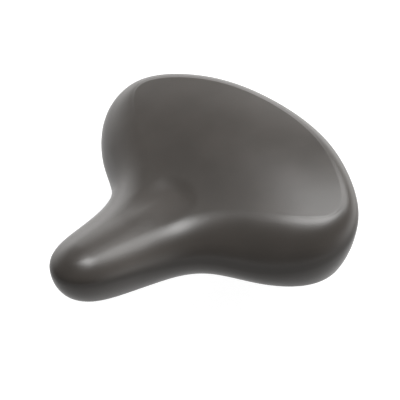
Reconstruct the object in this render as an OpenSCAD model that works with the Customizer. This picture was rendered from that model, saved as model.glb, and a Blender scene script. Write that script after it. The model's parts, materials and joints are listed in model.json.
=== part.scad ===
// Sprung comfort saddle with a moulded seamless cover, coil springs and a clip for a plain seat pin.
// Origin: centre of the clip's bore. +X points to the nose, +Y to the rider's left, +Z up.
// Bodies, from the pin up: clip band, tilting cradle, sliding rails with springs, sprung seat.

/* [Seat] */
// Thickness of the moulded cover skin
cover_t = 1.5; // [1.2:0.1:1.8]
// Thickness of the foam under the sit bones
foam_rear_t = 24; // [22:1:26]
// Thickness of the foam under the nose
foam_nose_t = 14; // [13:1:15]
// Thickness of the moulded base shell
shell_t = 2.4; // [2.2:0.1:2.6]
// Depth of the relief channel along the nose
channel_depth = 1.5; // [1:0.5:3]

/* [Seat pin clip] */
// Diameter of the plain seat pin that the clip grips
pin_d = 22.2; // [21.8:0.1:22.4]
// Length of the clip band along the seat pin
band_h = 30; // [28:1:32]
// Wall of the clip band
band_wall = 4; // [3.6:0.1:4]
// Diameter of the cross bolt
clip_bolt_d = 8; // [7.8:0.1:8]

/* [Rails] */
// Diameter of the rail wire
rail_d = 7; // [6.8:0.1:7]
// Distance between the rails where the clip grips them
rail_gap = 44; // [43.5:0.5:44.5]

/* [Springs] */
// Wire diameter of the coil springs
spring_wire = 4.8; // [4.4:0.2:5]
// Outer diameter of the coil springs
spring_od = 34; // [33:1:35]
// Distance between the two coil springs
spring_gap = 112; // [110:1:114]

/* [Smoothness] */
// Stations round the seat's outline, a multiple of 4
around = 72; // [48:4:80]
// Segments of round steel parts
round_fn = 48; // [32:8:96]

/* [Hidden] */

// The seat's own coordinates start at its rear edge; this is their origin in the part's frame
seat_origin = [-110, 0, 22];

// Half of the seat's outline, from the middle of the rear edge to the tip of the nose, as control
// points of a smooth closed curve: distance from the rear, half width, width of the rounded edge,
// height of the lower edge, height of the rounded edge
half_outline = [
    [0, 0, 13, 5, 11.7],
    [7, 52, 13, 4, 11.7],
    [29, 97, 13, 2.5, 11.7],
    [57, 134, 16, -3, 14],
    [99, 130, 28, -9, 23],
    [133, 93, 34, -9.5, 27],
    [149, 50, 32, -10, 23],
    [187, 38, 25, -8, 15],
    [209, 32.5, 21, -6.5, 11],
    [246, 25, 17, 0, 8.4],
    [262.5, 0, 14.5, 4, 7.6]];
half_steps = len(half_outline) - 1;
outline = concat(half_outline,
    [for (i = [half_steps - 1 : -1 : 1])
        [half_outline[i].x, -half_outline[i].y, half_outline[i][2], half_outline[i][3],
         half_outline[i][4]]]);

// Height of the top along the middle, and its curve across in thousandths of y squared, as control
// values every height_step, starting one step behind the rear edge
height_step = 60;
middle_heights = [58, 61, 62, 38, 28, 38, 22, 6.5];
cross_curves = [1.5, 0.2, -0.9, 0.1, -0.7, -3.8, -2.3, -0.8];

// The seat's surfaces converge on a line along its middle
spine_rear = 80;
spine_nose = 238;
// How far the side wall tucks in towards its lower edge, and the lip that the cover turns under
wall_tuck = 7;
lip_w = 4.5;
// How far in the shell's shoulder stands, in parts of the rounded edge's height
shell_corner = 1.3;
// Gap that keeps the moulded layers apart
layer_gap = 0.3;
// The shell's skirt: how far its wall stands in from the outline, and its foot above the lower edge
skirt_inset = 9.8;
foot_inset = 8.75;
foot_low = 1.7;
foot_high = 4.2;

// Relief channel: the two ends of its middle line, and how far its rim stands from that line
channel_rear = 138;
channel_front = 205;
channel_edge = 19;
// Crown of the nose: its height, its half width, and where it rises and falls away
crown_h = 4;
crown_w = 20;
crown_rise = [125, 180];
crown_fall = [228, 262];

// Rails, springs and clip
rail_r = rail_d / 2;
rail_y = rail_gap / 2;
rail_z = 14;
rail_rear_z = -10;
nose_pivot = [103, 0, 14];
nose_rail_y = 16;
running_gap = 0.05;
spring_x = -60;
spring_y = spring_gap / 2;
spring_top = 44;
spring_turns = 6;
spring_sides = 8;
spring_rings = 20;
cup_r = 19;
cup_rim_t = 1.5;
cup_t = 3;
bridge_t = 4;
bridge_top = rail_rear_z - rail_r;
spring_bottom = bridge_top + cup_t;
clip_bolt_x = 22;
clip_half_w = 9;
plate_gap = 0.3;
cap_out_y = rail_y + 7;

// ---- curves and surfaces of the seat ----

function ease(a, b, x) = let (u = max(0, min(1, (x - a) / (b - a)))) u * u * (3 - 2 * u);
function basis(u) = [pow(1 - u, 3), 3*u*u*u - 6*u*u + 4, -3*u*u*u + 3*u*u + 3*u + 1, u*u*u] / 6;
function basis_slope(u) = [-pow(1 - u, 2), 3*u*u - 4*u, -3*u*u + 2*u + 1, u*u] / 2;
function blend4(list, k, weights) =
    let (n = len(list), i = floor(k))
    weights[0] * list[(i - 1 + n) % n] + weights[1] * list[i % n]
    + weights[2] * list[(i + 1) % n] + weights[3] * list[(i + 2) % n];
function curve_at(list, x) =
    let (k = x / height_step + 1)
    blend4(list, k, basis(k - floor(k)));

// Outline point number i of `around`, in the columns of half_outline, and its inward normal
function rim(i) = let (k = i * len(outline) / around) blend4(outline, k, basis(k - floor(k)));
function inward(i) =
    let (k = i * len(outline) / around, d = blend4(outline, k, basis_slope(k - floor(k))))
    [d.y, -d.x] / norm([d.x, d.y]);

function channel(x, y) =
    let (beside = norm([x - max(channel_rear, min(channel_front, x)), y]),
         rim = min(1, beside / channel_edge))
    channel_depth * (1 - ease(0.66, 1, rim))
    * (1 - ease(channel_rear, channel_front, x));
function crown(x, y) =
    crown_h * ease(crown_rise[0], crown_rise[1], x) * (1 - ease(crown_fall[0], crown_fall[1], x))
    * exp(-pow(y / crown_w, 2));
function top_height(x, y) =
    curve_at(middle_heights, x) + curve_at(cross_curves, x) * y * y / 1000 + crown(x, y)
    - channel(x, y);
function foam_t(x) = foam_rear_t + (foam_nose_t - foam_rear_t) * ease(60, 140, x);

function spine(x) = [max(spine_rear, min(spine_nose, x)), 0];
// A point of the outline moved inwards
function inset(i, d) = let (r = rim(i), n = inward(i)) [r.x + n.x * d, r.y + n.y * d];

// Rings of the cover's surface, moved in by d: the top, the rounded edge and the side wall
function top_ring(s, d) =
    [for (i = [0 : around - 1])
        let (r = rim(i), q = inset(i, r[2]), p = spine(r.x) + (q - spine(r.x)) * s)
        [p.x, p.y, top_height(p.x, p.y) - d]];
function edge_ring(angle, d) =
    [for (i = [0 : around - 1])
        let (r = rim(i), full = r[2], drop = r[4],
             p0 = inset(i, full * (1 - sin(angle))), p = inset(i, full - (full - d) * sin(angle)))
        [p.x, p.y, top_height(p0.x, p0.y) - drop + (drop - d) * cos(angle)]];
function wall_ring(v, d, low) =
    [for (i = [0 : around - 1])
        let (r = rim(i), start = top_height(r.x, r.y) - r[4],
             p = inset(i, d + wall_tuck * v * v))
        [p.x, p.y, start + (r[3] + low - start) * v]];
function skin_rings(d, low) = concat(
    [for (s = [0.1, 0.22, 0.36, 0.52, 0.68, 0.82, 0.93, 1]) top_ring(s, d)],
    [for (angle = [18 : 18 : 90]) edge_ring(angle, d)],
    [for (v = [0.25, 0.5, 0.75, 1]) wall_ring(v, d, low)]);

// Rings of the shell's upper surface, moved in by d, from its foot to the middle
function level_ring(inset_d, up) =
    [for (i = [0 : around - 1]) let (p = inset(i, inset_d)) [p.x, p.y, rim(i)[3] + up]];
function shell_wall_ring(u, d, low) =
    [for (i = [0 : around - 1])
        let (r = rim(i), in = shell_corner * r[4], q = inset(i, in + d),
             top = top_height(q.x, q.y) - foam_t(q.x) - d * 1.1,
             p = inset(i, skirt_inset + d + (in - skirt_inset) * u * u))
        [p.x, p.y, r[3] + low + (top - r[3] - low) * u]];
function shell_top_ring(s, d) =
    [for (i = [0 : around - 1])
        let (r = rim(i), q = inset(i, shell_corner * r[4] + d),
             p = spine(r.x) + (q - spine(r.x)) * s)
        [p.x, p.y, top_height(p.x, p.y) + channel(p.x, p.y) - foam_t(p.x) - d * 1.1]];
function shell_rings(d, low) = concat(
    [for (u = [0, 0.3, 0.6, 0.85, 1]) shell_wall_ring(u, d, low)],
    [for (s = [0.85, 0.6, 0.35, 0.12]) shell_top_ring(s, d)]);

// A closed solid from a list of rings with the same number of points. Each end is closed by strips
// across the middle, from each left point to its right partner. From ring turn_from on, the strips
// are split along their other diagonal, so that layers that lie on each other are split alike.
module ringed_solid(rings, turn_from = 1000) {
    n = len(rings[0]);
    points = [for (ring = rings) each ring];
    last = (len(rings) - 1) * n;
    sides = [for (j = [0 : len(rings) - 2], i = [0 : n - 1], half = [0, 1])
        let (a = j * n + i, b = j * n + (i + 1) % n)
        j < turn_from ? (half == 0 ? [a, b, b + n] : [a, b + n, a + n])
        : half == 0 ? [a, b, a + n] : [b, b + n, a + n]];
    caps = [for (i = [0 : n / 2 - 1], half = [0, 1])
        let (a = i, b = i + 1, c = (n - i - 1) % n, d = (n - i) % n)
        if (half == 0 && b != c || half == 1 && a != d)
            half == 0 ? [a, c, b] : [a, d, c]];
    flipped = [for (f = caps) [last + f[0], last + f[2], last + f[1]]];
    polyhedron(points, concat(sides, caps, flipped), convexity = 6);
}
function reversed(list) = [for (i = [len(list) - 1 : -1 : 0]) list[i]];

module seat_frame() {
    translate(seat_origin) children();
}

// ---- seat ----

// Moulded skin: the outer surface, the lip turned under the shell's foot, and the inner surface
module cover() {
    outer = skin_rings(0, 0);
    inner = skin_rings(cover_t, foot_low - layer_gap);
    color([0.34, 0.33, 0.32])
        seat_frame()
            ringed_solid(concat(outer,
                [level_ring(wall_tuck + lip_w, 0), level_ring(wall_tuck + lip_w, foot_low - layer_gap)],
                reversed(inner)), turn_from = len(outer) + 2);
}

// Foam that fills the space between the cover and the shell
module foam_pad() {
    outer = skin_rings(cover_t + layer_gap, foot_high + layer_gap);
    inner = shell_rings(-layer_gap, foot_high + 0.6);
    color([0.86, 0.82, 0.7])
        seat_frame()
            ringed_solid(concat(outer, inner));
}

// The shell's outer form without its hollow
module shell_form() {
    foot = [level_ring(skirt_inset + shell_t, foot_low), level_ring(foot_inset, foot_low),
            level_ring(foot_inset, foot_high)];
    seat_frame()
        ringed_solid(concat(foot, shell_rings(0, foot_high + 0.4)));
}

// The hollow under the shell
module shell_hollow() {
    below = -30;
    seat_frame()
        ringed_solid(concat([level_ring(skirt_inset + shell_t, below)], shell_rings(shell_t, foot_low - 1)));
}

boss_r = 16;
boss_low = spring_top + cup_t;
insert_r = 4.5;
insert_h = 7;
nose_boss_low = 30;
nose_screw_x = [-18, 18];
module shell_bosses() {
    for (side = [-1, 1])
        translate([spring_x, side * spring_y, boss_low])
            cylinder(r = boss_r, h = 30, $fn = round_fn);
    translate([nose_pivot.x - 23, -8, nose_boss_low])
        cube([46, 16, 20]);
}
module insert_holes() {
    for (side = [-1, 1])
        translate([spring_x, side * spring_y, boss_low - 1])
            cylinder(r = insert_r, h = insert_h + 1, $fn = round_fn);
    for (dx = nose_screw_x)
        translate([nose_pivot.x + dx, 0, nose_boss_low - 1])
            cylinder(r = 2, h = 9, $fn = 24);
}

module base_shell() {
    color([0.12, 0.12, 0.12])
        difference() {
            shell_form();
            difference() {
                shell_hollow();
                shell_bosses();
            }
            insert_holes();
        }
}

// Threaded sleeves moulded into the shell for the upper spring bolts
module spring_inserts() {
    color([0.8, 0.65, 0.35])
        for (side = [-1, 1])
            translate([spring_x, side * spring_y, boss_low])
                difference() {
                    cylinder(r = insert_r, h = insert_h - 1, $fn = round_fn);
                    translate([0, 0, -1])
                        cylinder(r = 3, h = insert_h + 1, $fn = round_fn);
                }
}

// Clip under the nose that turns on the rails' inward ends
module nose_clip() {
    barrel_r = 7.5;
    barrel_w = 17;
    color([0.15, 0.15, 0.15])
        difference() {
            union() {
                translate([nose_pivot.x, barrel_w / 2, nose_pivot.z])
                    rotate([90, 0, 0])
                        cylinder(r = barrel_r, h = barrel_w, $fn = round_fn);
                translate([nose_pivot.x - 7, -barrel_w / 2, nose_pivot.z])
                    cube([14, barrel_w, nose_boss_low - nose_pivot.z - 2]);
                translate([nose_pivot.x - 23, -8, nose_boss_low - 4])
                    cube([46, 16, 4]);
            }
            translate([nose_pivot.x, barrel_w, nose_pivot.z])
                rotate([90, 0, 0])
                    cylinder(r = rail_r + running_gap, h = 2 * barrel_w, $fn = round_fn);
            for (dx = nose_screw_x)
                translate([nose_pivot.x + dx, 0, nose_boss_low - 5])
                    cylinder(r = 2.2, h = 6, $fn = 24);
        }
}

module nose_clip_screws() {
    color([0.3, 0.3, 0.32])
        for (dx = nose_screw_x)
            translate([nose_pivot.x + dx, 0, nose_boss_low - 4]) {
                translate([0, 0, -2.6])
                    difference() {
                        cylinder(r = 3.6, h = 2.6, $fn = 32);
                        translate([0, 0, -1])
                            cylinder(r = 1.7, h = 2.6, $fn = 6);
                    }
                cylinder(r = 1.9, h = 11, $fn = 24);
            }
}

// ---- springs ----

// Stamped cup that holds one end coil: a disc with a rim, and a bolt hole in its middle
module spring_cup() {
    difference() {
        cylinder(r = cup_r, h = cup_t + 4, $fn = round_fn);
        translate([0, 0, cup_t])
            cylinder(r = cup_r - cup_rim_t, h = 5, $fn = round_fn);
        translate([0, 0, -1])
            cylinder(r = 3.2, h = cup_t + 2, $fn = round_fn);
    }
}
module upper_spring_cup(side) {
    color([0.1, 0.1, 0.11])
        translate([spring_x, side * spring_y, boss_low])
            mirror([0, 0, 1])
                spring_cup();
}
module lower_spring_cup(side) {
    color([0.1, 0.1, 0.11])
        translate([spring_x, side * spring_y, bridge_top])
            spring_cup();
}

// Height of the coil's centre after t turns: closed end coils, open coils between
function coil_z(t) =
    let (low = spring_bottom + spring_wire / 2, high = spring_top - spring_wire / 2,
         closed = spring_wire + 0.2, open = (high - low - 2 * closed) / (spring_turns - 2))
    t < 1 ? low + closed * t : t > spring_turns - 1 ? high - closed * (spring_turns - t)
    : low + closed + open * (t - 1);
function coil_ring(k) =
    let (t = k / spring_rings, a = 360 * t, radius = (spring_od - spring_wire) / 2)
    [for (j = [0 : spring_sides - 1])
        let (b = 360 * j / spring_sides, out = radius + spring_wire / 2 * cos(b))
        [out * cos(a), out * sin(a), coil_z(t) + spring_wire / 2 * sin(b)]];
module coil_spring() {
    rings = [for (k = [0 : spring_turns * spring_rings]) coil_ring(k)];
    n = spring_sides;
    last = (len(rings) - 1) * n;
    sides = [for (j = [0 : len(rings) - 2], i = [0 : n - 1], half = [0, 1])
        let (a = j * n + i, b = j * n + (i + 1) % n)
        half == 0 ? [a, b + n, b] : [a, a + n, b + n]];
    ends = [[for (i = [0 : n - 1]) i], [for (i = [n - 1 : -1 : 0]) last + i]];
    polyhedron([for (ring = rings) each ring], concat(sides, ends), convexity = 10);
}
module coil_spring_at(side) {
    color([0.75, 0.76, 0.78])
        translate([spring_x, side * spring_y, 0])
            coil_spring();
}

// Hexagon head bolt standing on its head, with the head below z = 0
module hex_bolt(shank_r, shank_l, head_af, head_h) {
    translate([0, 0, -head_h])
        cylinder(d = head_af / cos(30), h = head_h, $fn = 6);
    cylinder(r = shank_r, h = shank_l, $fn = round_fn);
}
module hex_nut(bore_r, af, h) {
    difference() {
        cylinder(d = af / cos(30), h = h, $fn = 6);
        translate([0, 0, -1])
            cylinder(r = bore_r, h = h + 2, $fn = round_fn);
    }
}

module upper_spring_bolts() {
    color([0.72, 0.73, 0.75])
        for (side = [-1, 1])
            translate([spring_x, side * spring_y, spring_top])
                hex_bolt(2.95, cup_t + insert_h - 2, 10, 4);
}
module lower_spring_bolts() {
    color([0.72, 0.73, 0.75])
        for (side = [-1, 1])
            translate([spring_x, side * spring_y, bridge_top - bridge_t])
                hex_bolt(2.95, bridge_t + cup_t + 7, 10, 4);
}
module lower_spring_nuts() {
    color([0.72, 0.73, 0.75])
        for (side = [-1, 1])
            translate([spring_x, side * spring_y, spring_bottom])
                hex_nut(3, 10, 5);
}

// ---- rails ----

// Corners of a rail's centre line, from its rear end to its inward end under the nose, each with
// its bend radius. The side is 1 for the left rail and -1 for the right one.
rail_corners = [
    [-80, rail_y, rail_rear_z, 0],
    [-44, rail_y, rail_rear_z, 12],
    [-12, rail_y, rail_z, 12],
    [64, rail_y, rail_z, 9],
    [72, nose_rail_y, nose_pivot.z, 9],
    [nose_pivot.x, nose_rail_y, nose_pivot.z, 6],
    [nose_pivot.x, 0.4, nose_pivot.z, 0]];
function corner(i, side) = [rail_corners[i].x, side * rail_corners[i].y, rail_corners[i].z];
function unit(v) = v / norm(v);
function heading(i, side) = unit(corner(i + 1, side) - corner(i, side));
function bend_angle(i) = acos(heading(i - 1, 1) * heading(i, 1));
function setback(i) =
    rail_corners[i][3] == 0 ? 0 : rail_corners[i][3] * tan(bend_angle(i) / 2);

// A straight stretch of the rail between two bends
module rail_straight(i, side) {
    along = heading(i, side);
    a = corner(i, side) + along * setback(i);
    b = corner(i + 1, side) - along * setback(i + 1);
    translate(a)
        rotate([0, acos(along.z), atan2(along.y, along.x)])
            cylinder(r = rail_r, h = norm(b - a), $fn = round_fn);
}
// A bend of the rail: part of a ring in the plane of its two straight stretches
module rail_bend(i, side) {
    before = heading(i - 1, side);
    after = heading(i, side);
    radial = -unit(after - before * (after * before));
    normal = cross(radial, before);
    centre = corner(i, side) - before * setback(i) - radial * rail_corners[i][3];
    multmatrix([
        [radial.x, before.x, normal.x, centre.x],
        [radial.y, before.y, normal.y, centre.y],
        [radial.z, before.z, normal.z, centre.z]])
        rotate_extrude(angle = bend_angle(i), $fn = round_fn)
            translate([rail_corners[i][3], 0])
                circle(r = rail_r, $fn = round_fn);
}
module rail(side) {
    color([0.72, 0.73, 0.75])
        union() {
            for (i = [0 : len(rail_corners) - 2])
                rail_straight(i, side);
            for (i = [1 : len(rail_corners) - 2])
                rail_bend(i, side);
        }
}

// Flat steel bar under the rails that carries both springs
module rear_bridge() {
    color([0.1, 0.1, 0.11])
        difference() {
            union() {
                translate([spring_x - 13, -spring_y, bridge_top - bridge_t])
                    cube([26, 2 * spring_y, bridge_t]);
                for (side = [-1, 1])
                    translate([spring_x, side * spring_y, bridge_top - bridge_t])
                        cylinder(r = 18, h = bridge_t, $fn = round_fn);
            }
            for (side = [-1, 1])
                translate([spring_x, side * spring_y, bridge_top - bridge_t - 1])
                    cylinder(r = 3.2, h = bridge_t + 2, $fn = round_fn);
            for (y = bridge_bolt_y)
                translate([spring_x, y, bridge_top - bridge_t - 1])
                    cylinder(r = 3.2, h = bridge_t + 2, $fn = round_fn);
        }
}
bridge_bolt_y = [-9, 9];
clamp_plate_top = rail_rear_z + rail_r + 2;

// Grooved plate that presses the rails onto the bridge
module bridge_clamp_plate() {
    low = bridge_top + 1;
    color([0.1, 0.1, 0.11])
        difference() {
            translate([spring_x - 10, -rail_y - 7, low])
                cube([20, 2 * rail_y + 14, clamp_plate_top - low]);
            for (side = [-1, 1])
                translate([spring_x - 20, side * rail_y, rail_rear_z])
                    rotate([0, 90, 0])
                        cylinder(r = rail_r, h = 40, $fn = round_fn);
            for (side = [-1, 1])
                translate([spring_x - 20, side * rail_y - rail_r, low - 1])
                    cube([40, 2 * rail_r, rail_rear_z - low + 1]);
            for (y = bridge_bolt_y)
                translate([spring_x, y, low - 1])
                    cylinder(r = 3.2, h = 12, $fn = round_fn);
        }
}
module bridge_bolts() {
    color([0.72, 0.73, 0.75])
        for (y = bridge_bolt_y)
            translate([spring_x, y, clamp_plate_top])
                mirror([0, 0, 1])
                    hex_bolt(2.95, clamp_plate_top - bridge_top + bridge_t + 7, 10, 4);
}
module bridge_nuts() {
    color([0.72, 0.73, 0.75])
        for (y = bridge_bolt_y)
            translate([spring_x, y, bridge_top - bridge_t - 5])
                hex_nut(3, 10, 5);
}

// ---- clip on the seat pin ----

plate_inner_y = clip_half_w + plate_gap;
plate_face_gap = 0.3;
plate_half_l = 17;
module across(y0, y1, r, fn = round_fn) {
    translate([clip_bolt_x, y1, 0])
        rotate([90, 0, 0])
            cylinder(r = r, h = y1 - y0, $fn = fn);
}
module rail_groove(side) {
    translate([clip_bolt_x - 40, side * rail_y, rail_z])
        rotate([0, 90, 0])
            cylinder(r = rail_r + running_gap, h = 80, $fn = round_fn);
}

// Split band round the seat pin, with two ears that the cross bolt draws together
module clip_band() {
    slit = 3;
    outer_r = pin_d / 2 + band_wall;
    color([0.62, 0.63, 0.65])
        difference() {
            union() {
                translate([0, 0, -band_h / 2])
                    cylinder(r = outer_r, h = band_h, $fn = 2 * round_fn);
                translate([8, -clip_half_w, -10])
                    cube([clip_bolt_x - 8, 2 * clip_half_w, 20]);
                across(-clip_half_w, clip_half_w, 10);
            }
            translate([0, 0, -band_h])
                cylinder(r = pin_d / 2, h = 2 * band_h, $fn = 2 * round_fn);
            translate([5, -slit / 2, -band_h])
                cube([40, slit, 2 * band_h]);
            across(-20, 20, clip_bolt_d / 2 + running_gap);
        }
}

// Plate between the band and one rail, with half of the rail's groove
module inner_clip_plate(side) {
    color([0.62, 0.63, 0.65])
        mirror([0, side < 0 ? 1 : 0, 0])
            difference() {
                union() {
                    across(plate_inner_y, rail_y - plate_face_gap, 9);
                    translate([clip_bolt_x - plate_half_l, 16, 6])
                        cube([2 * plate_half_l, rail_y - plate_face_gap - 16, 14]);
                    translate([clip_bolt_x - 9, 16, 0])
                        cube([18, rail_y - plate_face_gap - 16, 10]);
                }
                rail_groove(1);
                across(0, 40, clip_bolt_d / 2 + 0.2);
            }
}

// Outer cap with the other half of the groove
module outer_clip_cap(side) {
    color([0.62, 0.63, 0.65])
        mirror([0, side < 0 ? 1 : 0, 0])
            difference() {
                union() {
                    across(rail_y + plate_face_gap, cap_out_y, 9);
                    translate([clip_bolt_x - plate_half_l, rail_y + plate_face_gap, 6])
                        cube([2 * plate_half_l, cap_out_y - rail_y - plate_face_gap, 14]);
                    translate([clip_bolt_x - 9, rail_y + plate_face_gap, 0])
                        cube([18, cap_out_y - rail_y - plate_face_gap, 10]);
                }
                rail_groove(1);
                across(0, 40, clip_bolt_d / 2 + 0.2);
            }
}

washer_t = 1.6;
module clip_washers() {
    color([0.72, 0.73, 0.75])
        for (side = [0, 1])
            mirror([0, side, 0])
                difference() {
                    across(cap_out_y, cap_out_y + washer_t, 8);
                    across(0, 50, clip_bolt_d / 2 + 0.2);
                }
}
module clip_bolt() {
    end_y = cap_out_y + washer_t;
    color([0.72, 0.73, 0.75])
        union() {
            across(-end_y - 9, end_y, clip_bolt_d / 2);
            across(end_y, end_y + 5.3, 7.5, 6);
        }
}
module clip_nut() {
    start_y = cap_out_y + washer_t;
    color([0.72, 0.73, 0.75])
        difference() {
            across(-start_y - 6.5, -start_y, 7.5, 6);
            across(-60, 0, clip_bolt_d / 2);
        }
}

cover();
foam_pad();
base_shell();
spring_inserts();
nose_clip();
nose_clip_screws();
upper_spring_cup(1);  // upper_spring_cup_left
upper_spring_cup(-1);  // upper_spring_cup_right
upper_spring_bolts();
coil_spring_at(1);  // spring_left
coil_spring_at(-1);  // spring_right
lower_spring_cup(1);  // lower_spring_cup_left
lower_spring_cup(-1);  // lower_spring_cup_right
lower_spring_bolts();
lower_spring_nuts();
rail(1);  // rail_left
rail(-1);  // rail_right
rear_bridge();
bridge_clamp_plate();
bridge_bolts();
bridge_nuts();
inner_clip_plate(1);  // inner_clip_plate_left
inner_clip_plate(-1);  // inner_clip_plate_right
outer_clip_cap(1);  // outer_clip_cap_left
outer_clip_cap(-1);  // outer_clip_cap_right
clip_bolt();
clip_nut();
clip_washers();
clip_band();
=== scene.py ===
"""Looks of the sprung comfort saddle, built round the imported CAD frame."""

import bmesh
import bpy
import json
import math
import numpy as np
from mathutils import Matrix, Vector


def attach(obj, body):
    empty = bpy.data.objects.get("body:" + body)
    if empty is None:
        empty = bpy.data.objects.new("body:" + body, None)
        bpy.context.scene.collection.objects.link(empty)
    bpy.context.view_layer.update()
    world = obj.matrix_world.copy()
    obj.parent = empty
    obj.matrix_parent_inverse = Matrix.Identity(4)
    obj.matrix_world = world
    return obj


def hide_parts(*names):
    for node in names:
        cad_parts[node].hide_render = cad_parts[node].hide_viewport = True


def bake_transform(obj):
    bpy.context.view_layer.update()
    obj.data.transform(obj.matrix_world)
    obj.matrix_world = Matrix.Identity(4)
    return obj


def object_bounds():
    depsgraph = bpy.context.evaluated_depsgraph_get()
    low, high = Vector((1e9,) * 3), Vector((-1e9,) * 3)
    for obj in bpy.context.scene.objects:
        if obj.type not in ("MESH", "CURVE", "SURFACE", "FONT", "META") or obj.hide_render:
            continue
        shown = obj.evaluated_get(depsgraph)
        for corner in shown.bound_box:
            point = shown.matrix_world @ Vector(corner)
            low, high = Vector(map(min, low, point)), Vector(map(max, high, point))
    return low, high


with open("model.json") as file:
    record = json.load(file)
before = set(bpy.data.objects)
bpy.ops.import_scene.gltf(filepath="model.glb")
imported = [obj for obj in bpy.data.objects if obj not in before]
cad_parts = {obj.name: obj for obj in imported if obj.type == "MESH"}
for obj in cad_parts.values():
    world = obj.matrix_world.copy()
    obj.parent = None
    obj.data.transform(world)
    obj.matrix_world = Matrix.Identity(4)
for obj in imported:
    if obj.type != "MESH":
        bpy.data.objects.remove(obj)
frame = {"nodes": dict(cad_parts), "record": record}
cad_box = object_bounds()

MM = 0.001

# ---------------------------------------------------------------- the seat's own surfaces, in mm
# The same design curves as the CAD source, apart from a softer rim to the channel and a small step
# round the rear, in the seat's coordinates: x from the rear edge, y to the rider's left, z up.
# The outline's columns are distance from the rear, half width, width of the rounded edge, height of
# the lower edge and height of the rounded edge.
SEAT_ORIGIN = np.array([-110.0, 0.0, 22.0])
HALF_OUTLINE = np.array([
    [0, 0, 13, 5, 11.7],
    [7, 52, 13, 4, 11.7],
    [29, 97, 13, 2.5, 11.7],
    [57, 134, 16, -3, 14],
    [99, 130, 28, -9, 23],
    [133, 93, 34, -9.5, 27],
    [149, 50, 32, -10, 23],
    [187, 38, 25, -8, 15],
    [209, 32.5, 21, -6.5, 11],
    [246, 25, 17, 0, 8.4],
    [262.5, 0, 14.5, 4, 7.6]], float)
MIRROR = np.array([1, -1, 1, 1, 1], float)
OUTLINE = np.vstack([HALF_OUTLINE, HALF_OUTLINE[-2:0:-1] * MIRROR])
HEIGHT_STEP = 60
MIDDLE_HEIGHTS = np.array([58, 61, 62, 38, 28, 38, 22, 6.5])
CROSS_CURVES = np.array([1.5, 0.2, -0.9, 0.1, -0.7, -3.8, -2.3, -0.8])
SPINE_REAR, SPINE_NOSE = 80, 238
WALL_TUCK = 7
LIP_W = 4.5
SHELL_CORNER = 1.3
COVER_T = 1.5
SHELL_T = 2.4
FOAM_REAR_T, FOAM_NOSE_T, FOAM_TAPER = 24, 14, (60, 140)
# Layers are parted by this much more in height than square to the surface, for its slope
SLOPE_ALLOWANCE = 1.1
SKIRT_INSET, FOOT_INSET, FOOT_LOW, FOOT_HIGH = 9.8, 8.75, 1.7, 4.2
LAYER_GAP = 0.3
CHANNEL_DEPTH = 1.5
CHANNEL_REAR, CHANNEL_FRONT = 138, 205
CHANNEL_EDGE, CHANNEL_SIDE, CHANNEL_RIM_START = 20, 0.8, 0.2
CROWN_H, CROWN_W, CROWN_RISE, CROWN_FALL = 4.0, 20.0, (125, 180), (228, 262)


def ease(a, b, x):
    u = np.clip((x - a) / (b - a), 0, 1)
    return u * u * (3 - 2 * u)


def basis(u):
    return np.stack([(1 - u) ** 3, 3 * u**3 - 6 * u**2 + 4,
                     -3 * u**3 + 3 * u**2 + 3 * u + 1, u**3]) / 6


def basis_slope(u):
    return np.stack([-((1 - u) ** 2), 3 * u**2 - 4 * u, -3 * u**2 + 2 * u + 1, u**2]) / 2


def blend4(values, k, weights):
    i = np.floor(k).astype(int)
    n = len(values)
    picked = np.stack([values[(i + j - 1) % n] for j in range(4)])
    shape = weights.shape + (1,) * (picked.ndim - weights.ndim)
    return (picked * weights.reshape(shape)).sum(0)


def curve_at(values, x):
    k = x / HEIGHT_STEP + 1
    return blend4(values, k, basis(k - np.floor(k)))


class Outline:
    """The outline at n stations: place, inward normal, rounded edge and height of the lower edge."""

    def __init__(self, n):
        self.n = n
        self.k = np.arange(n) * len(OUTLINE) / n
        u = self.k - np.floor(self.k)
        values = blend4(OUTLINE, self.k, basis(u))
        slope = blend4(OUTLINE, self.k, basis_slope(u))[:, :2]
        self.xy = values[:, :2]
        self.edge_w = values[:, 2]
        self.low = values[:, 3]
        self.edge_h = values[:, 4]
        normal = np.stack([slope[:, 1], -slope[:, 0]], 1)
        self.inward = normal / np.linalg.norm(normal, axis=1)[:, None]
        self.from_rear = np.minimum(self.k, len(OUTLINE) - self.k)

    def inset(self, d):
        d = np.broadcast_to(d, (self.n,))
        return self.xy + self.inward * d[:, None]

    def spine(self):
        return np.stack([np.clip(self.xy[:, 0], SPINE_REAR, SPINE_NOSE), np.zeros(self.n)], 1)


def channel(x, y):
    beside = np.hypot(x - np.clip(x, CHANNEL_REAR, CHANNEL_FRONT), CHANNEL_SIDE * y)
    rim = np.clip(beside / CHANNEL_EDGE, 0, 1)
    depth = CHANNEL_DEPTH * (1 - ease(CHANNEL_RIM_START, 1, rim))
    return depth * (1 - ease(CHANNEL_REAR, CHANNEL_FRONT, x))


def crown(x, y):
    along = ease(*CROWN_RISE, x) * (1 - ease(*CROWN_FALL, x))
    return CROWN_H * along * np.exp(-((y / CROWN_W) ** 2))


def plain_height(x, y):
    return curve_at(MIDDLE_HEIGHTS, x) + curve_at(CROSS_CURVES, x) * y * y / 1000 + crown(x, y)


def top_height(x, y):
    return plain_height(x, y) - channel(x, y)


def foam_t(x):
    return FOAM_REAR_T + (FOAM_NOSE_T - FOAM_REAR_T) * ease(*FOAM_TAPER, x)


def raised(xy, z):
    return np.column_stack([xy, z])


# The small step down where the top meets the edge roll. It runs round the rear and fades by each
# lobe's front, whose place is counted in control points from the middle of the rear.
STEP_DOWN = 0.2
STEP_W = 2.2
STEP_END = 16
STEP_FULL_K, STEP_GONE_K = 4.1, 4.9


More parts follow.
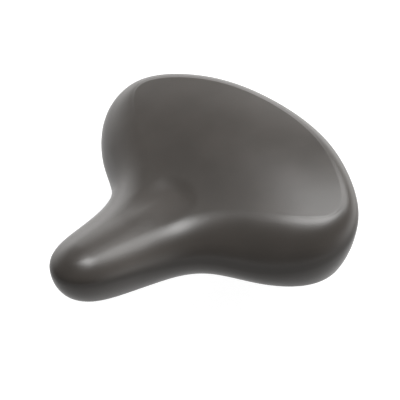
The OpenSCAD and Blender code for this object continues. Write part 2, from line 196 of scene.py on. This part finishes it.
def edge_step(out, beyond):
    """Height of the edge roll against the plain surface, `beyond` mm outside the top's border."""
    step = -STEP_DOWN * ease(0, STEP_W, beyond) * (1 - ease(STEP_W, STEP_END, beyond))
    return step * (1 - ease(STEP_FULL_K, STEP_GONE_K, out.from_rear))


def top_ring(out, s, d=0.0):
    spine = out.spine()
    p = spine + (out.inset(out.edge_w) - spine) * s
    return raised(p, top_height(p[:, 0], p[:, 1]) - d)


def edge_ring(out, angle, d=0.0, stepped=False):
    a = math.radians(angle)
    full, drop = out.edge_w, out.edge_h
    p0 = out.inset(full * (1 - math.sin(a)))
    p = out.inset(full - (full - d) * math.sin(a))
    z = top_height(p0[:, 0], p0[:, 1]) - drop + (drop - d) * math.cos(a)
    if stepped:
        rise = edge_step(out, full * math.sin(a))
        p = p - out.inward * (rise * math.sin(a))[:, None]
        z = z + rise * math.cos(a)
    return raised(p, z)


def wall_ring(out, v, d=0.0, low=0.0):
    start = top_height(out.xy[:, 0], out.xy[:, 1]) - out.edge_h
    return raised(out.inset(d + WALL_TUCK * v * v), start + (out.low + low - start) * v)


def level_ring(out, inset_d, up):
    return raised(out.inset(inset_d), out.low + up)


# ---------------------------------------------------------------- mesh helpers

def make_object(name, verts, faces):
    mesh = bpy.data.meshes.new(name)
    mesh.from_pydata([tuple(v) for v in verts], [], [tuple(f) for f in faces])
    mesh.validate()
    mesh.update()
    mesh.polygons.foreach_set("use_smooth", [True] * len(mesh.polygons))
    obj = bpy.data.objects.new(name, mesh)
    bpy.context.scene.collection.objects.link(obj)
    return obj


def ring_faces(count, n, first=0):
    faces = []
    for j in range(count - 1):
        for i in range(n):
            a, b = first + j * n + i, first + j * n + (i + 1) % n
            faces.append((a, b, b + n, a + n))
    return faces


def middle_cap(n, first, flip):
    """Closes a ring by strips across the middle, from each left point to its right partner."""
    faces = []
    for i in range(n // 2):
        quad = [first + i, first + (n - i) % n, first + (n - i - 1) % n, first + i + 1]
        face = list(dict.fromkeys(quad))
        faces.append(tuple(reversed(face)) if flip else tuple(face))
    return faces


def ringed_solid(name, rings):
    n = len(rings[0])
    faces = ring_faces(len(rings), n)
    faces += middle_cap(n, 0, False)
    faces += middle_cap(n, (len(rings) - 1) * n, True)
    verts = (np.vstack(rings) + SEAT_ORIGIN) * MM
    return make_object(name, verts, faces)


def sharp_by_angle(obj, degrees):
    bpy.context.view_layer.objects.active = obj
    obj.select_set(True)
    bpy.ops.object.shade_smooth_by_angle(angle=math.radians(degrees))
    obj.select_set(False)
    return obj


# ---------------------------------------------------------------- materials

def new_material(name, color, roughness, metallic=0.0, **sockets):
    mat = bpy.data.materials.new(name)
    mat.use_nodes = True
    shader = mat.node_tree.nodes["Principled BSDF"]
    shader.inputs["Base Color"].default_value = (*color, 1)
    shader.inputs["Roughness"].default_value = roughness
    shader.inputs["Metallic"].default_value = metallic
    for key, value in sockets.items():
        shader.inputs[key.replace("_", " ")].default_value = value
    return mat


def nodes_of(mat):
    tree = mat.node_tree
    return tree.nodes, tree.links, tree.nodes["Principled BSDF"]


def object_noise(mat, scale, detail, stretch=(1, 1, 1)):
    nodes, links, _ = nodes_of(mat)
    coord = nodes.new("ShaderNodeTexCoord")
    mapping = nodes.new("ShaderNodeMapping")
    mapping.inputs["Scale"].default_value = stretch
    noise = nodes.new("ShaderNodeTexNoise")
    noise.inputs["Scale"].default_value = scale
    noise.inputs["Detail"].default_value = detail
    links.new(coord.outputs["Object"], mapping.inputs["Vector"])
    links.new(mapping.outputs["Vector"], noise.inputs["Vector"])
    return noise.outputs["Fac"]


def object_voronoi(mat, scale):
    nodes, links, _ = nodes_of(mat)
    coord = nodes.new("ShaderNodeTexCoord")
    cells = nodes.new("ShaderNodeTexVoronoi")
    cells.inputs["Scale"].default_value = scale
    links.new(coord.outputs["Object"], cells.inputs["Vector"])
    return cells.outputs["Distance"]


# Where a colour ramp is all dark and where it is all light, on the noise's scale of 0 to 1
RAMP_DARK, RAMP_LIGHT = 0.35, 0.65


def vary_color(mat, factor, dark, light):
    nodes, links, shader = nodes_of(mat)
    ramp = nodes.new("ShaderNodeValToRGB")
    ramp.color_ramp.elements[0].position = RAMP_DARK
    ramp.color_ramp.elements[0].color = (*dark, 1)
    ramp.color_ramp.elements[1].position = RAMP_LIGHT
    ramp.color_ramp.elements[1].color = (*light, 1)
    links.new(factor, ramp.inputs["Fac"])
    links.new(ramp.outputs["Color"], shader.inputs["Base Color"])


def vary_roughness(mat, factor, low, high):
    nodes, links, shader = nodes_of(mat)
    remap = nodes.new("ShaderNodeMapRange")
    remap.inputs["To Min"].default_value = low
    remap.inputs["To Max"].default_value = high
    links.new(factor, remap.inputs["Value"])
    links.new(remap.outputs["Result"], shader.inputs["Roughness"])


def add_bump(mat, height, strength, distance):
    nodes, links, shader = nodes_of(mat)
    bump = nodes.new("ShaderNodeBump")
    bump.inputs["Strength"].default_value = strength
    bump.inputs["Distance"].default_value = distance
    links.new(height, bump.inputs["Height"])
    before = shader.inputs["Normal"].links
    if before:
        links.new(before[0].from_socket, bump.inputs["Normal"])
    links.new(bump.outputs["Normal"], shader.inputs["Normal"])


COVER_ROUGHNESS = (0.29, 0.35)
TOP_SPECULAR, SIDE_SPECULAR = 0.5, 0.17
# Painted shade: the side wall's colour is multiplied by this, so the wall looks less bright than the
# top, as if in shade
SIDE_PAINTED_SHADE = (0.52, 0.53, 0.54, 1)


def cover_material():
    """Moulded skin: satin, warm dark grey, with a fine pebble and faint unevenness.

    The vertex value "side" goes from 0 on the top to 1 on the side wall. The side wall has a lower
    specular and painted shade: its colour is multiplied down to stand in for the shade that falls on the
    wall. Sockets 6 and 7 are the colours that the mix node multiplies."""
    mat = new_material("cover_skin", (0.06, 0.053, 0.047), 0.35)
    vary_color(mat, object_noise(mat, 22, 3), (0.055, 0.0485, 0.043), (0.066, 0.058, 0.0515))
    vary_roughness(mat, object_noise(mat, 60, 4), *COVER_ROUGHNESS)
    nodes, links, shader = nodes_of(mat)
    side = nodes.new("ShaderNodeAttribute")
    side.attribute_name = "side"
    dull = nodes.new("ShaderNodeMapRange")
    dull.inputs["To Min"].default_value = TOP_SPECULAR
    dull.inputs["To Max"].default_value = SIDE_SPECULAR
    links.new(side.outputs["Fac"], dull.inputs["Value"])
    links.new(dull.outputs["Result"], shader.inputs["Specular IOR Level"])
    # Painted shade: the side value multiplies the skin's colour down on the side wall
    side_painted_shade = nodes.new("ShaderNodeMix")
    side_painted_shade.data_type = "RGBA"
    side_painted_shade.blend_type = "MULTIPLY"
    side_painted_shade.inputs[7].default_value = SIDE_PAINTED_SHADE
    links.new(side.outputs["Fac"], side_painted_shade.inputs["Factor"])
    links.new(shader.inputs["Base Color"].links[0].from_socket, side_painted_shade.inputs[6])
    links.new(side_painted_shade.outputs[2], shader.inputs["Base Color"])
    add_bump(mat, object_voronoi(mat, 1300), 0.10, 0.0002)
    add_bump(mat, object_noise(mat, 2600, 2), 0.08, 0.0001)
    return mat


def foam_material():
    mat = new_material("foam", (0.72, 0.66, 0.5), 0.9)
    vary_color(mat, object_noise(mat, 90, 4), (0.62, 0.55, 0.4), (0.78, 0.72, 0.56))
    add_bump(mat, object_voronoi(mat, 900), 0.6, 0.0005)
    return mat


def plastic_material(name, tone, roughness):
    mat = new_material(name, (tone, tone, tone * 1.03), roughness)
    vary_color(mat, object_noise(mat, 120, 3), (tone * 0.85,) * 3, (tone * 1.2,) * 3)
    vary_roughness(mat, object_noise(mat, 300, 3), roughness - 0.07, roughness + 0.07)
    add_bump(mat, object_noise(mat, 1800, 3), 0.25, 0.0002)
    return mat


def steel_material(name, tone, roughness, stretch=(1, 1, 1)):
    """Plated or drawn steel: fine streaks, and a cloudy change of gloss."""
    mat = new_material(name, (tone, tone, tone * 1.03), roughness, metallic=1.0)
    vary_color(mat, object_noise(mat, 140, 4), (tone * 0.8,) * 3, (tone * 1.08, tone * 1.08, tone * 1.1))
    vary_roughness(mat, object_noise(mat, 220, 5, stretch=stretch), roughness - 0.08, roughness + 0.1)
    add_bump(mat, object_noise(mat, 1500, 3, stretch=stretch), 0.08, 0.0001)
    return mat


def paint_material():
    """Black powder coat: slight orange peel, worn a little lighter in patches."""
    mat = new_material("black_steel", (0.025, 0.025, 0.027), 0.38, Coat_Weight=0.3,
                       Coat_Roughness=0.25)
    vary_color(mat, object_noise(mat, 80, 4), (0.018, 0.018, 0.02), (0.036, 0.036, 0.038))
    vary_roughness(mat, object_noise(mat, 260, 3), 0.32, 0.46)
    add_bump(mat, object_noise(mat, 900, 2), 0.18, 0.0002)
    return mat


def brass_material():
    mat = new_material("insert_brass", (0.72, 0.53, 0.24), 0.3, metallic=1.0)
    vary_color(mat, object_noise(mat, 200, 4), (0.6, 0.42, 0.17), (0.78, 0.58, 0.28))
    vary_roughness(mat, object_noise(mat, 400, 3), 0.24, 0.4)
    return mat


MATERIALS = {
    "cover_skin": cover_material(),
    "foam": foam_material(),
    "shell_plastic": plastic_material("shell_plastic", 0.028, 0.55),
    "clip_plastic": plastic_material("clip_plastic", 0.032, 0.42),
    "insert_brass": brass_material(),
    "zinc_steel": steel_material("zinc_steel", 0.62, 0.3),
    "rail_steel": steel_material("rail_steel", 0.56, 0.28, stretch=(0.15, 1, 1)),
    "clip_steel": steel_material("clip_steel", 0.48, 0.4),
    "spring_steel": steel_material("spring_steel", 0.68, 0.2),
    "black_steel": paint_material(),
}


SLOTS = {part["node"]: part["material_slot"] for part in frame["record"]["subparts"]}


def finish_cad_nodes():
    for name, obj in frame["nodes"].items():
        material = MATERIALS[SLOTS[name]]
        if not obj.data.materials:
            obj.data.materials.append(material)
        for slot in obj.material_slots:
            slot.material = material


def dress(obj, slot, body, *nodes):
    obj.data.materials.append(MATERIALS[slot])
    if body:
        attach(obj, body)
    if nodes:
        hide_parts(*nodes)
    return obj


# ---------------------------------------------------------------- seat pieces

STATIONS = 440
TOP_STEPS = list(np.linspace(0.02, 0.86, 36))
BORDER_STEPS = [0.89, 0.915, 0.935, 0.95, 0.962, 0.972, 0.979, 0.985, 0.99, 0.995, 1.0]
EDGE_ANGLES = [1.5, 3, 4.5, 6, 8, 10, 12.5, 15, 20, 26, 33, 41, 50, 60, 70, 80, 90]
WALL_STEPS = np.linspace(0.1, 1, 10)
INNER_WALL_STEPS = (1, 0.75, 0.5, 0.25)
INNER_EDGE_ANGLES = (90, 72, 54, 36, 18)
INNER_TOP_STEPS = (1, 0.93, 0.8, 0.65, 0.5, 0.35, 0.2, 0.08)
# The turn under the lower edge and the lip: how far in from the wall's foot, and how far up
LIP_TURN = [(0.5, -0.3), (1.2, -0.4), (LIP_W, -0.1), (LIP_W, FOOT_LOW - LAYER_GAP)]
# Where on the rounded edge the skin starts to take the side wall's lower specular and painted shade, and
# where it has them in full
DULL_AND_SHADE_ANGLES = (45, 90)
# How far above the shell's foot its inner and outer walls and the foam's inner wall start
INNER_WALL_RISE, OUTER_WALL_RISE, FOAM_WALL_RISE = 0.2, 0.4, 0.6


def make_cover():
    out = Outline(STATIONS)
    rings = [top_ring(out, s) for s in TOP_STEPS + BORDER_STEPS]
    rings += [edge_ring(out, a, stepped=True) for a in EDGE_ANGLES]
    rings += [wall_ring(out, v) for v in WALL_STEPS]
    rings += [level_ring(out, WALL_TUCK + inward, up) for inward, up in LIP_TURN]
    rings += [wall_ring(out, v, COVER_T, FOOT_LOW - LAYER_GAP) for v in INNER_WALL_STEPS]
    rings += [edge_ring(out, a, COVER_T) for a in INNER_EDGE_ANGLES]
    rings += [top_ring(out, s, COVER_T) for s in INNER_TOP_STEPS]
    cover = ringed_solid("moulded_cover", rings)
    top_count = len(TOP_STEPS) + len(BORDER_STEPS)
    # The side value marks where the skin gets painted shade and a lower specular: 0 on the top, 1 on the
    # side wall
    side = np.ones(len(rings))
    side[:top_count] = 0
    side[top_count:top_count + len(EDGE_ANGLES)] = ease(*DULL_AND_SHADE_ANGLES, np.array(EDGE_ANGLES, float))
    values = cover.data.attributes.new("side", "FLOAT", "POINT")
    values.data.foreach_set("value", np.repeat(side, STATIONS).astype(np.float32))
    dress(cover, "cover_skin", "seat", "cover")


def shell_wall_ring(out, u, d, low):
    corner = SHELL_CORNER * out.edge_h
    q = out.inset(corner + d)
    top = top_height(q[:, 0], q[:, 1]) - foam_t(q[:, 0]) - d * SLOPE_ALLOWANCE
    inset_d = SKIRT_INSET + d + (corner - SKIRT_INSET) * u * u
    start = out.low + low
    return raised(out.inset(inset_d), start + (top - start) * u)


def shell_top_ring(out, s, d):
    q = out.inset(SHELL_CORNER * out.edge_h + d)
    spine = out.spine()
    p = spine + (q - spine) * s
    return raised(p, plain_height(p[:, 0], p[:, 1]) - foam_t(p[:, 0]) - d * SLOPE_ALLOWANCE)


def shell_surface(out, d, low):
    rings = [shell_wall_ring(out, u, d, low) for u in np.linspace(0, 1, 12)]
    return rings + [shell_top_ring(out, s, d) for s in np.linspace(0.95, 0.04, 18)]


def make_foam():
    out = Outline(STATIONS // 2)
    d = COVER_T + LAYER_GAP
    rings = [top_ring(out, s, d) for s in np.linspace(0.05, 1, 24)]
    rings += [edge_ring(out, a, d) for a in range(9, 91, 9)]
    rings += [wall_ring(out, v, d, FOOT_HIGH + LAYER_GAP) for v in np.linspace(0.1, 1, 8)]
    rings += shell_surface(out, -LAYER_GAP, FOOT_HIGH + FOAM_WALL_RISE)
    foam = ringed_solid("moulded_foam", rings)
    dress(foam, "foam", "seat", "foam_pad")


RIB_T, RIB_DEPTH, RIB_SINK = 1.8, 5.0, 0.8
RIB_EASE_SPAN, RIB_EASE_START, RIB_EASE_POWER = 0.96, 0.06, 0.35
BOSS_R, BOSS_LOW, BOSS_SINK = 16.0, 47.0, 1.2
SPRING_X, SPRING_Y = -60.0, 56.0
NOSE_X, NOSE_BOSS_LOW = 103.0, 30.0
NOSE_BOSS_HALF_L, NOSE_BOSS_HALF_W, NOSE_BOSS_CHAMFER = 23, 8, 1.0
DETAIL_SHARP = 35
# Ribs under the shell, from point to point in the part's frame
RIBS = [((-72, 0), (66, 0)), ((-60, 38), (-60, -38)), ((-46, 46), (30, 10)), ((-46, -46), (30, -10)),
        ((-60, 76), (-60, 98)), ((-60, -76), (-60, -98)), ((-12, -72), (-12, 72))]


def shell_underside(x, y):
    """Height of the shell's underside in the part's frame, from a point in that frame."""
    sx = x - SEAT_ORIGIN[0]
    return plain_height(sx, y) - foam_t(sx) - SLOPE_ALLOWANCE * SHELL_T + SEAT_ORIGIN[2]


def rib_mesh(start, end, steps=24):
    """A rib that hangs from the shell's underside, with its lower edge eased up at both ends."""
    start, end = np.array(start, float), np.array(end, float)
    along = (end - start) / np.linalg.norm(end - start)
    across = np.array([-along[1], along[0]]) * RIB_T / 2
    verts = []
    for i in range(steps + 1):
        u = i / steps
        p = start + (end - start) * u
        top = float(shell_underside(p[0], p[1])) + RIB_SINK
        swell = math.sin(math.pi * u * RIB_EASE_SPAN + RIB_EASE_START) ** RIB_EASE_POWER
        depth = RIB_DEPTH * swell + RIB_SINK
        for side, z in ((1, top), (1, top - depth + 0.5), (0.6, top - depth), (-0.6, top - depth),
                        (-1, top - depth + 0.5), (-1, top)):
            verts.append((*(p + across * side), z))
    faces = ring_faces(steps + 1, 6)
    last = steps * 6
    faces += [tuple(reversed(range(6))), tuple(range(last, last + 6))]
    return verts, faces


def lathe_mesh(profile, centre, steps=72):
    """A closed round mesh from (radius, height) points; its axis stands on the centre."""
    verts = []
    for radius, z in profile:
        for i in range(steps):
            a = 2 * math.pi * i / steps
            verts.append((centre[0] + radius * math.cos(a), centre[1] + radius * math.sin(a), z))
    faces = ring_faces(len(profile), steps)
    last = (len(profile) - 1) * steps
    faces += [tuple(reversed(range(steps))), tuple(range(last, last + steps))]
    return verts, faces


def block_mesh(low, high, edge):
    """A block with its four upright edges and its lower edges cut by a small chamfer."""
    (x0, y0, z0), (x1, y1, z1) = low, high

    def loop(inset, z):
        e = edge
        a, b, c, d = x0 + inset, x1 - inset, y0 + inset, y1 - inset
        return [(a + e, c, z), (b - e, c, z), (b, c + e, z), (b, d - e, z), (b - e, d, z),
                (a + e, d, z), (a, d - e, z), (a, c + e, z)]

    verts = loop(edge, z0) + loop(0, z0 + edge) + loop(0, z1)
    faces = ring_faces(3, 8) + [tuple(reversed(range(8))), tuple(range(16, 24))]
    return verts, faces


def joined(name, parts):
    """One object from several closed meshes, given in millimetres in the part's frame."""
    verts, faces = [], []
    for more_verts, more_faces in parts:
        first = len(verts)
        verts += more_verts
        faces += [tuple(first + i for i in face) for face in more_faces]
    return make_object(name, np.array(verts, float) * MM, faces)


def make_shell():
    out = Outline(STATIONS // 2)
    foot = [level_ring(out, SKIRT_INSET + SHELL_T, FOOT_LOW), level_ring(out, FOOT_INSET, FOOT_LOW),
            level_ring(out, FOOT_INSET, FOOT_HIGH)]
    rings = list(reversed(shell_surface(out, SHELL_T, FOOT_LOW + INNER_WALL_RISE))) + foot
    rings += shell_surface(out, 0, FOOT_HIGH + OUTER_WALL_RISE)
    shell = ringed_solid("moulded_shell", rings)
    dress(shell, "shell_plastic", "seat", "base_shell")
    parts = [rib_mesh(*ends) for ends in RIBS]
    for side in (-1, 1):
        x, y = SPRING_X, side * SPRING_Y
        top = float(shell_underside(x, y)) + BOSS_SINK
        parts.append(lathe_mesh([(BOSS_R - 1, BOSS_LOW), (BOSS_R, BOSS_LOW + 1), (BOSS_R, top - 2),
                                 (BOSS_R + 0.8, top - 0.8), (BOSS_R + 2.4, top)], (x, y)))
    reach, half = NOSE_BOSS_HALF_L, NOSE_BOSS_HALF_W
    top = float(min(shell_underside(NOSE_X + dx, 0) for dx in (-reach, 0, reach))) + BOSS_SINK
    parts.append(block_mesh((NOSE_X - reach, -half, NOSE_BOSS_LOW), (NOSE_X + reach, half, top),
                            NOSE_BOSS_CHAMFER))
    details = joined("shell_ribs_and_bosses", parts)
    sharp_by_angle(details, DETAIL_SHARP)
    dress(details, "shell_plastic", "seat")


# ---------------------------------------------------------------- springs and hardware

SPRING_BOTTOM, SPRING_TOP = -10.5, 44.0
SPRING_WIRE, SPRING_OD, SPRING_TURNS = 4.8, 34.0, 6
END_COIL_GAP = 0.2
COIL_STEPS, WIRE_SIDES = 96, 20
# Steps on each side that a height is averaged over, and steps from each end that this comes in over
SMOOTH_STEPS, SMOOTH_FROM = 12, 30
END_TRIM = 0.82
COIL_SHARP = 50


def coil_height(turn):
    """Height of the wire's middle: a closed coil at each end, evenly open coils between them."""
    low, high = SPRING_BOTTOM + SPRING_WIRE / 2, SPRING_TOP - SPRING_WIRE / 2
    closed = SPRING_WIRE + END_COIL_GAP
    pitch = (high - low - 2 * closed) / (SPRING_TURNS - 2)
    start = low + closed * min(turn, 1)
    end = closed * max(0, turn - (SPRING_TURNS - 1))
    return start + pitch * max(0, min(turn, SPRING_TURNS - 1) - 1) + end


def make_spring(name, node, side):
    steps, sides = COIL_STEPS, WIRE_SIDES
    radius, wire = (SPRING_OD - SPRING_WIRE) / 2, SPRING_WIRE / 2
    count = SPRING_TURNS * steps
    heights = np.array([coil_height(i / steps) for i in range(count + 1)])
    # ease the change of pitch between the closed coils and the open ones
    window = 2 * SMOOTH_STEPS + 1
    padded = np.pad(heights, SMOOTH_STEPS, mode="edge")
    inner = np.convolve(padded, np.ones(window) / window, mode="valid")
    place = np.arange(count + 1)
    blend = ease(0, SMOOTH_FROM, place) * ease(0, SMOOTH_FROM, place[::-1])
    heights = heights * (1 - blend) + inner * blend
    verts = []
    for i in range(count + 1):
        a = 2 * math.pi * i / steps
        trim = 1.0 if 0 < i < count else END_TRIM
        for j in range(sides):
            b = 2 * math.pi * j / sides
            out = radius + wire * trim * math.cos(b)
            verts.append((SPRING_X + out * math.cos(a), side * SPRING_Y + out * math.sin(a),
                          heights[i] + wire * trim * math.sin(b)))
    faces = [tuple(reversed(face)) for face in ring_faces(count + 1, sides)]
    faces += [tuple(range(sides)), tuple(reversed(range(count * sides, (count + 1) * sides)))]
    spring = make_object(name, np.array(verts) * MM, faces)
    sharp_by_angle(spring, COIL_SHARP)
    spring.data.materials.append(MATERIALS["spring_steel"])
    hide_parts(node)
    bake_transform(spring)


# Hardware nodes that get broken edges, with the width of the bevel in millimetres
BEVELS = {
    "nose_clip": 0.8, "nose_clip_screws": 0.25,
    "upper_spring_cup_left": 0.35, "upper_spring_cup_right": 0.35,
    "lower_spring_cup_left": 0.35, "lower_spring_cup_right": 0.35,
    "upper_spring_bolts": 0.5, "lower_spring_bolts": 0.5, "lower_spring_nuts": 0.5,
    "rear_bridge": 0.6, "bridge_clamp_plate": 0.4, "bridge_bolts": 0.5, "bridge_nuts": 0.5,
    "inner_clip_plate_left": 0.7, "inner_clip_plate_right": 0.7,
    "outer_clip_cap_left": 0.7, "outer_clip_cap_right": 0.7,
    "clip_bolt": 0.6, "clip_nut": 0.6, "clip_washers": 0.25, "clip_band": 0.7}
WELD_M = 1e-6
# Degrees: faces that meet flatter than the first are joined, edges sharper than the second bevelled
FLAT_ANGLE, SHARP_ANGLE = 0.8, 32
BEVEL_SEGMENTS = 3


def make_hardware():
    owner = {node: body for body, nodes in frame["record"]["behaviour"]["bodies"].items()
             for node in nodes}
    for node, width in BEVELS.items():
        source = frame["nodes"][node]
        mesh = bpy.data.meshes.new(node + "_finished")
        shape = bmesh.new()
        shape.from_mesh(source.data)
        shape.transform(source.matrix_world)
        bmesh.ops.remove_doubles(shape, verts=shape.verts, dist=WELD_M)
        bmesh.ops.dissolve_limit(shape, angle_limit=math.radians(FLAT_ANGLE), verts=shape.verts,
                                 edges=shape.edges)
        sharp = [e for e in shape.edges
                 if len(e.link_faces) == 2 and e.calc_face_angle(0) > math.radians(SHARP_ANGLE)]
        bmesh.ops.bevel(shape, geom=sharp, offset=width * MM, offset_type="OFFSET",
                        segments=BEVEL_SEGMENTS, profile=0.5, affect="EDGES", clamp_overlap=True)
        shape.to_mesh(mesh)
        shape.free()
        mesh.polygons.foreach_set("use_smooth", [True] * len(mesh.polygons))
        piece = bpy.data.objects.new(node + "_finished", mesh)
        bpy.context.scene.collection.objects.link(piece)
        sharp_by_angle(piece, SHARP_ANGLE)
        dress(piece, SLOTS[node], owner[node], node)


# ---------------------------------------------------------------- camera, light and floor

CAMERA_AZIMUTH, CAMERA_ELEVATION, CAMERA_ROLL = 43.4, 42.4, 2.16
CAMERA_DISTANCE = 0.855
CAMERA_TARGET = (np.array([123.3, 18.5, 33.8]) + SEAT_ORIGIN) * MM
FRAME_PX, FOCAL_PX, SENSOR = 400, 1070, 36


BACKDROP = (-0.8, -0.15, 0)
BACKDROP_WIDTH = (-0.5, 0.6)
BACKDROP_HEIGHT = (0.25, 0.75)
BACKDROP_STRENGTH = 2.6
AMBIENT = 0.12
FLOOR_GLOW = 0.93
# Name, direction towards the light, distance, size, watts
LIGHTS = [("key", (-0.54, 0.03, 0.83), 1.8, (0.8, 0.6), 11),
          ("top", (-0.16, -0.04, 1), 2.0, (0.8, 0.6), 24)]
LIGHT_AIM = (0, 0, 0.05)
FLOOR_GAP, FLOOR_HALF = 0.0005, 6.0


def make_camera():
    azimuth, elevation = math.radians(CAMERA_AZIMUTH), math.radians(CAMERA_ELEVATION)
    back = Vector((math.cos(elevation) * math.cos(azimuth),
                   math.cos(elevation) * math.sin(azimuth), math.sin(elevation)))
    data = bpy.data.cameras.new("camera")
    data.sensor_width = SENSOR
    data.lens = FOCAL_PX / FRAME_PX * SENSOR
    data.clip_start, data.clip_end = 0.01, 100
    camera = bpy.data.objects.new("camera", data)
    bpy.context.scene.collection.objects.link(camera)
    turn = (-back).to_track_quat("-Z", "Y").to_matrix()
    roll = Matrix.Rotation(math.radians(CAMERA_ROLL), 3, "Z")
    camera.matrix_world = Matrix.Translation(Vector(CAMERA_TARGET) + back * CAMERA_DISTANCE) @ (
        (turn @ roll).to_4x4())
    bpy.context.scene.camera = camera


def area_light(name, toward, distance, size, energy):
    data = bpy.data.lights.new(name, "AREA")
    data.shape = "RECTANGLE"
    data.size, data.size_y = size
    data.energy = energy
    light = bpy.data.objects.new(name, data)
    bpy.context.scene.collection.objects.link(light)
    direction = Vector(toward).normalized()
    light.location = Vector(LIGHT_AIM) + direction * distance
    light.rotation_mode = "QUATERNION"
    light.rotation_quaternion = (-direction).to_track_quat("-Z", "Y")


def make_world():
    """Studio surround: a bright backdrop low behind the saddle, dim above and towards the camera."""
    world = bpy.data.worlds.new("studio")
    bpy.context.scene.world = world
    world.use_nodes = True
    tree = world.node_tree
    background = tree.nodes["Background"]
    coord = tree.nodes.new("ShaderNodeTexCoord")

    def along(direction, start, end, low, high):
        dot = tree.nodes.new("ShaderNodeVectorMath")
        dot.operation = "DOT_PRODUCT"
        dot.inputs[1].default_value = Vector(direction).normalized()
        remap = tree.nodes.new("ShaderNodeMapRange")
        remap.interpolation_type = "SMOOTHSTEP"
        for socket, value in (("From Min", start), ("From Max", end), ("To Min", low), ("To Max", high)):
            remap.inputs[socket].default_value = value
        tree.links.new(coord.outputs["Generated"], dot.inputs[0])
        tree.links.new(dot.outputs["Value"], remap.inputs["Value"])
        return remap.outputs["Result"]

    def combine(operation, first, second):
        node = tree.nodes.new("ShaderNodeMath")
        node.operation = operation
        tree.links.new(first, node.inputs[0])
        if isinstance(second, float):
            node.inputs[1].default_value = second
        else:
            tree.links.new(second, node.inputs[1])
        return node.outputs[0]

    backdrop = combine("MULTIPLY", along(BACKDROP, *BACKDROP_WIDTH, 0.0, 1.0),
                       along((0, 0, 1), *BACKDROP_HEIGHT, 1.0, 0.0))
    strength = combine("ADD", combine("MULTIPLY", backdrop, BACKDROP_STRENGTH), AMBIENT)
    tree.links.new(strength, background.inputs["Strength"])
    background.inputs["Color"].default_value = (1, 1, 1, 1)


def make_stage():
    floor_z = cad_box[0].z - FLOOR_GAP
    mesh = bpy.data.meshes.new("floor")
    half = FLOOR_HALF
    mesh.from_pydata([(-half, -half, floor_z), (half, -half, floor_z), (half, half, floor_z),
                      (-half, half, floor_z)], [], [(0, 1, 2, 3)])
    floor = bpy.data.objects.new("floor", mesh)
    bpy.context.scene.collection.objects.link(floor)
    floor_material = new_material("floor", (0.3, 0.3, 0.3), 0.9)
    shader = floor_material.node_tree.nodes["Principled BSDF"]
    shader.inputs["Emission Color"].default_value = (1, 1, 1, 1)
    shader.inputs["Emission Strength"].default_value = FLOOR_GLOW
    floor.data.materials.append(floor_material)
    for light in LIGHTS:
        area_light(*light)


scene = bpy.context.scene
scene.view_settings.view_transform = "Standard"
scene.view_settings.look = "None"
make_camera()
make_world()
make_stage()
finish_cad_nodes()
make_cover()
make_foam()
make_shell()
for side_name, side in (("left", 1), ("right", -1)):
    make_spring("coil_spring_" + side_name, "spring_" + side_name, side)
make_hardware()
